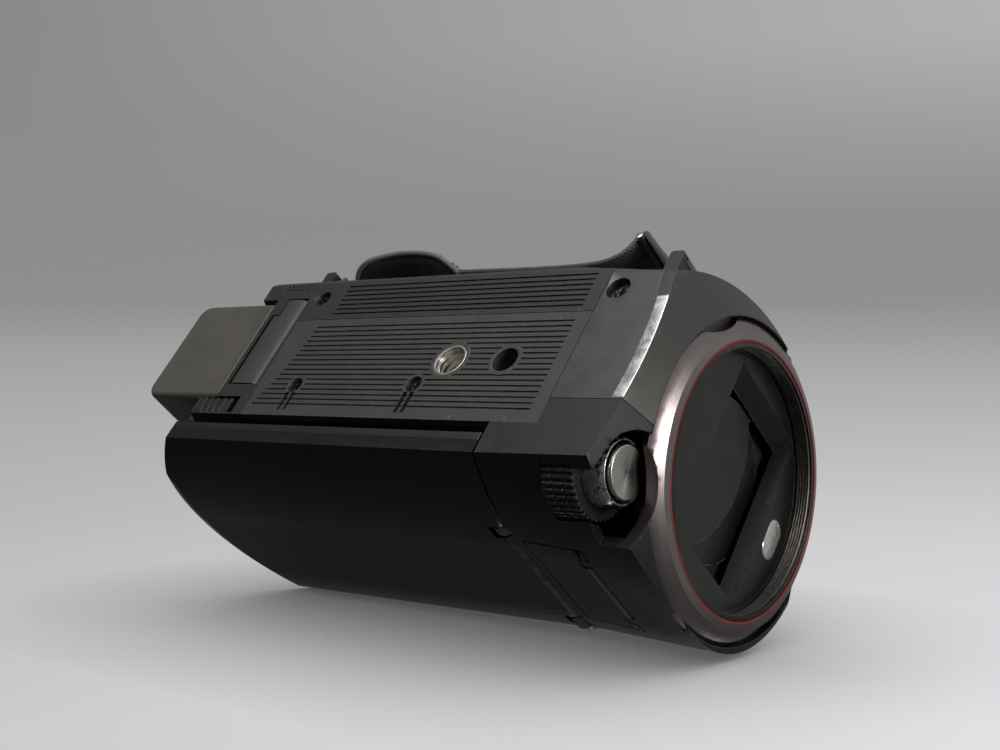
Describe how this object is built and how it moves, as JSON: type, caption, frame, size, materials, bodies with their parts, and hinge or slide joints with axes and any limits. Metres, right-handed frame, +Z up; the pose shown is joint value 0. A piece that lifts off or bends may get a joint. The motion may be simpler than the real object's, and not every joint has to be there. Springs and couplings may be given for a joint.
{
  "type": "camcorder",
  "caption": "Hand-held camcorder with round lens ring, side-opening screen, function dial, rear battery, card door, tripod socket and hand strap.",
  "frame": {"origin": "centre of the tripod socket at its mouth on the bottom plane", "axes": "+Z up, -Y out through the lens, +X the screen side, -X the hand strap side"},
  "size_m": [0.0727, 0.1347, 0.0728],
  "materials": {
    "shell_plastic": "fine grained moulded plastic",
    "bezel_plastic": "satin moulded plastic",
    "side_plastic": "satin moulded plastic",
    "panel_gloss": "dark gloss moulding",
    "screen_gloss": "screen window",
    "ring_metal": "anodised, spun finish",
    "red_trim": "red lacquer line",
    "filter_metal": "black anodised",
    "lens_panel": "black panel",
    "lamp_clear": "clear moulded lens",
    "optical_glass": "coated glass",
    "blade_black": "matt black sheet",
    "chrome_trim": "worn bright plating",
    "button_metal": "spun finish",
    "dial_black": "knurled moulding",
    "steel": "plain steel",
    "insert_steel": "threaded insert",
    "battery_plastic": "grey moulded case",
    "contact_brass": "plated contacts",
    "inner_plastic": "inner moulding",
    "board_green": "circuit board",
    "strap_fabric": "padded cloth",
    "web_fabric": "woven webbing",
    "button_plastic": "satin button"
  },
  "bodies": {
    "camera_body": {"left_shell": "shell_plastic", "right_shell": "side_plastic", "bottom_cover": "shell_plastic", "top_cover": "shell_plastic", "rear_cover": "shell_plastic", "front_bezel": "bezel_plastic", "front_side_cover": "side_plastic", "chrome_strip": "chrome_trim", "jack_door_pin": "steel", "microphone_sockets": "inner_plastic", "socket_tray": "inner_plastic", "screen_hinge_pin": "steel", "screen_hinge_block": "steel", "lens_ring": "ring_metal", "red_line": "red_trim", "filter_ring": "filter_metal", "lens_front_panel": "lens_panel", "lamp_lens": "lamp_clear", "blade_pins": "steel", "lens_cover_base": "inner_plastic", "lens_barrel": "inner_plastic", "front_lens": "optical_glass", "image_sensor": "inner_plastic", "dial_hub": "inner_plastic", "tripod_socket": "insert_steel", "base_screws": "steel", "card_door_pin": "steel", "card_socket": "steel", "speaker": "inner_plastic", "battery_contacts": "contact_brass", "battery_bay_wall": "inner_plastic", "side_sockets": "steel", "microphone_grille": "shell_plastic", "supply_socket": "inner_plastic", "main_chassis": "steel", "circuit_board": "board_green", "strap_pad": "strap_fabric", "strap_anchors": "shell_plastic", "strap_webbing": "web_fabric", "strap_bar": "steel"},
    "screen": {"screen_cover": "panel_gloss", "screen_bezel": "panel_gloss", "screen_glass": "screen_gloss"},
    "dial": {"function_dial": "dial_black", "dial_collar": "chrome_trim"},
    "dial_button": {"function_button": "button_metal"},
    "upper_blade": {"lens_cover_upper_blade": "blade_black"},
    "lower_blade": {"lens_cover_lower_blade": "blade_black"},
    "jack_door": {"jack_door": "side_plastic"},
    "card_door": {"card_door": "shell_plastic"},
    "battery": {"battery": "battery_plastic"},
    "latch": {"battery_latch": "button_plastic"},
    "zoom_lever": {"zoom_lever": "button_plastic"},
    "photo_button": {"photo_button": "button_plastic"},
    "record_button": {"record_button": "button_plastic"},
    "power_button": {"power_button": "button_plastic"},
    "mode_button": {"mode_button": "button_plastic"},
    "zoom_lens": {"zoom_lens": "optical_glass"}
  },
  "joints": [
    {"name": "screen_open", "type": "hinge", "parent": "camera_body", "child": "screen", "pos_m": [0.0236, -0.0146, 0.033], "axis": [0, 0, -1], "range_deg": [0, 90]},
    {"name": "dial_turn", "type": "hinge", "parent": "camera_body", "child": "dial", "pos_m": [0.017, -0.0347, 0.0094], "axis": [0, 1, 0], "continuous": true},
    {"name": "dial_button_press", "type": "slide", "parent": "camera_body", "child": "dial_button", "axis": [0, 1, 0], "range_m": [0, 0.0008], "stiffness_N_per_m": 1500, "springref_m": -0.0004},
    {"name": "upper_blade_swing", "type": "hinge", "parent": "camera_body", "child": "upper_blade", "pos_m": [0.02, -0.0396, 0.033], "axis": [0, 1, 0], "range_deg": [0, 32]},
    {"name": "lower_blade_swing", "type": "hinge", "parent": "camera_body", "child": "lower_blade", "pos_m": [-0.022, -0.0406, 0.037], "axis": [0, 1, 0], "range_deg": [0, 58]},
    {"name": "jack_door_open", "type": "hinge", "parent": "camera_body", "child": "jack_door", "pos_m": [0.0269, -0.0315, 0.032], "axis": [0, 0, -1], "range_deg": [0, 95]},
    {"name": "card_door_open", "type": "hinge", "parent": "camera_body", "child": "card_door", "pos_m": [-0.003, 0.0587, 0.001], "axis": [1, 0, 0], "range_deg": [0, 95]},
    {"name": "battery_slide", "type": "slide", "parent": "camera_body", "child": "battery", "axis": [0, 1, 0], "range_m": [0, 0.028]},
    {"name": "latch_slide", "type": "slide", "parent": "camera_body", "child": "latch", "axis": [0, -1, 0], "range_m": [0, 0.002], "stiffness_N_per_m": 300, "springref_m": -0.001},
    {"name": "zoom_rock", "type": "hinge", "parent": "camera_body", "child": "zoom_lever", "pos_m": [-0.0145, 0.022, 0.07], "axis": [0, 0, 1], "range_deg": [-15, 15], "stiffness_Nm_per_rad": 0.02},
    {"name": "photo_press", "type": "slide", "parent": "camera_body", "child": "photo_button", "axis": [0, 0, -1], "range_m": [0, 0.0008], "stiffness_N_per_m": 1500, "springref_m": -0.0004},
    {"name": "record_press", "type": "slide", "parent": "camera_body", "child": "record_button", "axis": [0, -1, 0], "range_m": [0, 0.0008], "stiffness_N_per_m": 1500, "springref_m": -0.0004},
    {"name": "power_press", "type": "slide", "parent": "camera_body", "child": "power_button", "axis": [-1, 0, 0], "range_m": [0, 0.0005], "stiffness_N_per_m": 2000, "springref_m": -0.0004},
    {"name": "mode_press", "type": "slide", "parent": "camera_body", "child": "mode_button", "axis": [-1, 0, 0], "range_m": [0, 0.0005], "stiffness_N_per_m": 2000, "springref_m": -0.0004},
    {"name": "zoom_travel", "type": "slide", "parent": "camera_body", "child": "zoom_lens", "axis": [0, 1, 0], "range_m": [0, 0.007]}
  ],
  "couplings": [
    {"joint": "lower_blade_swing", "follows": "upper_blade_swing", "ratio": 1.8125}
  ]
}
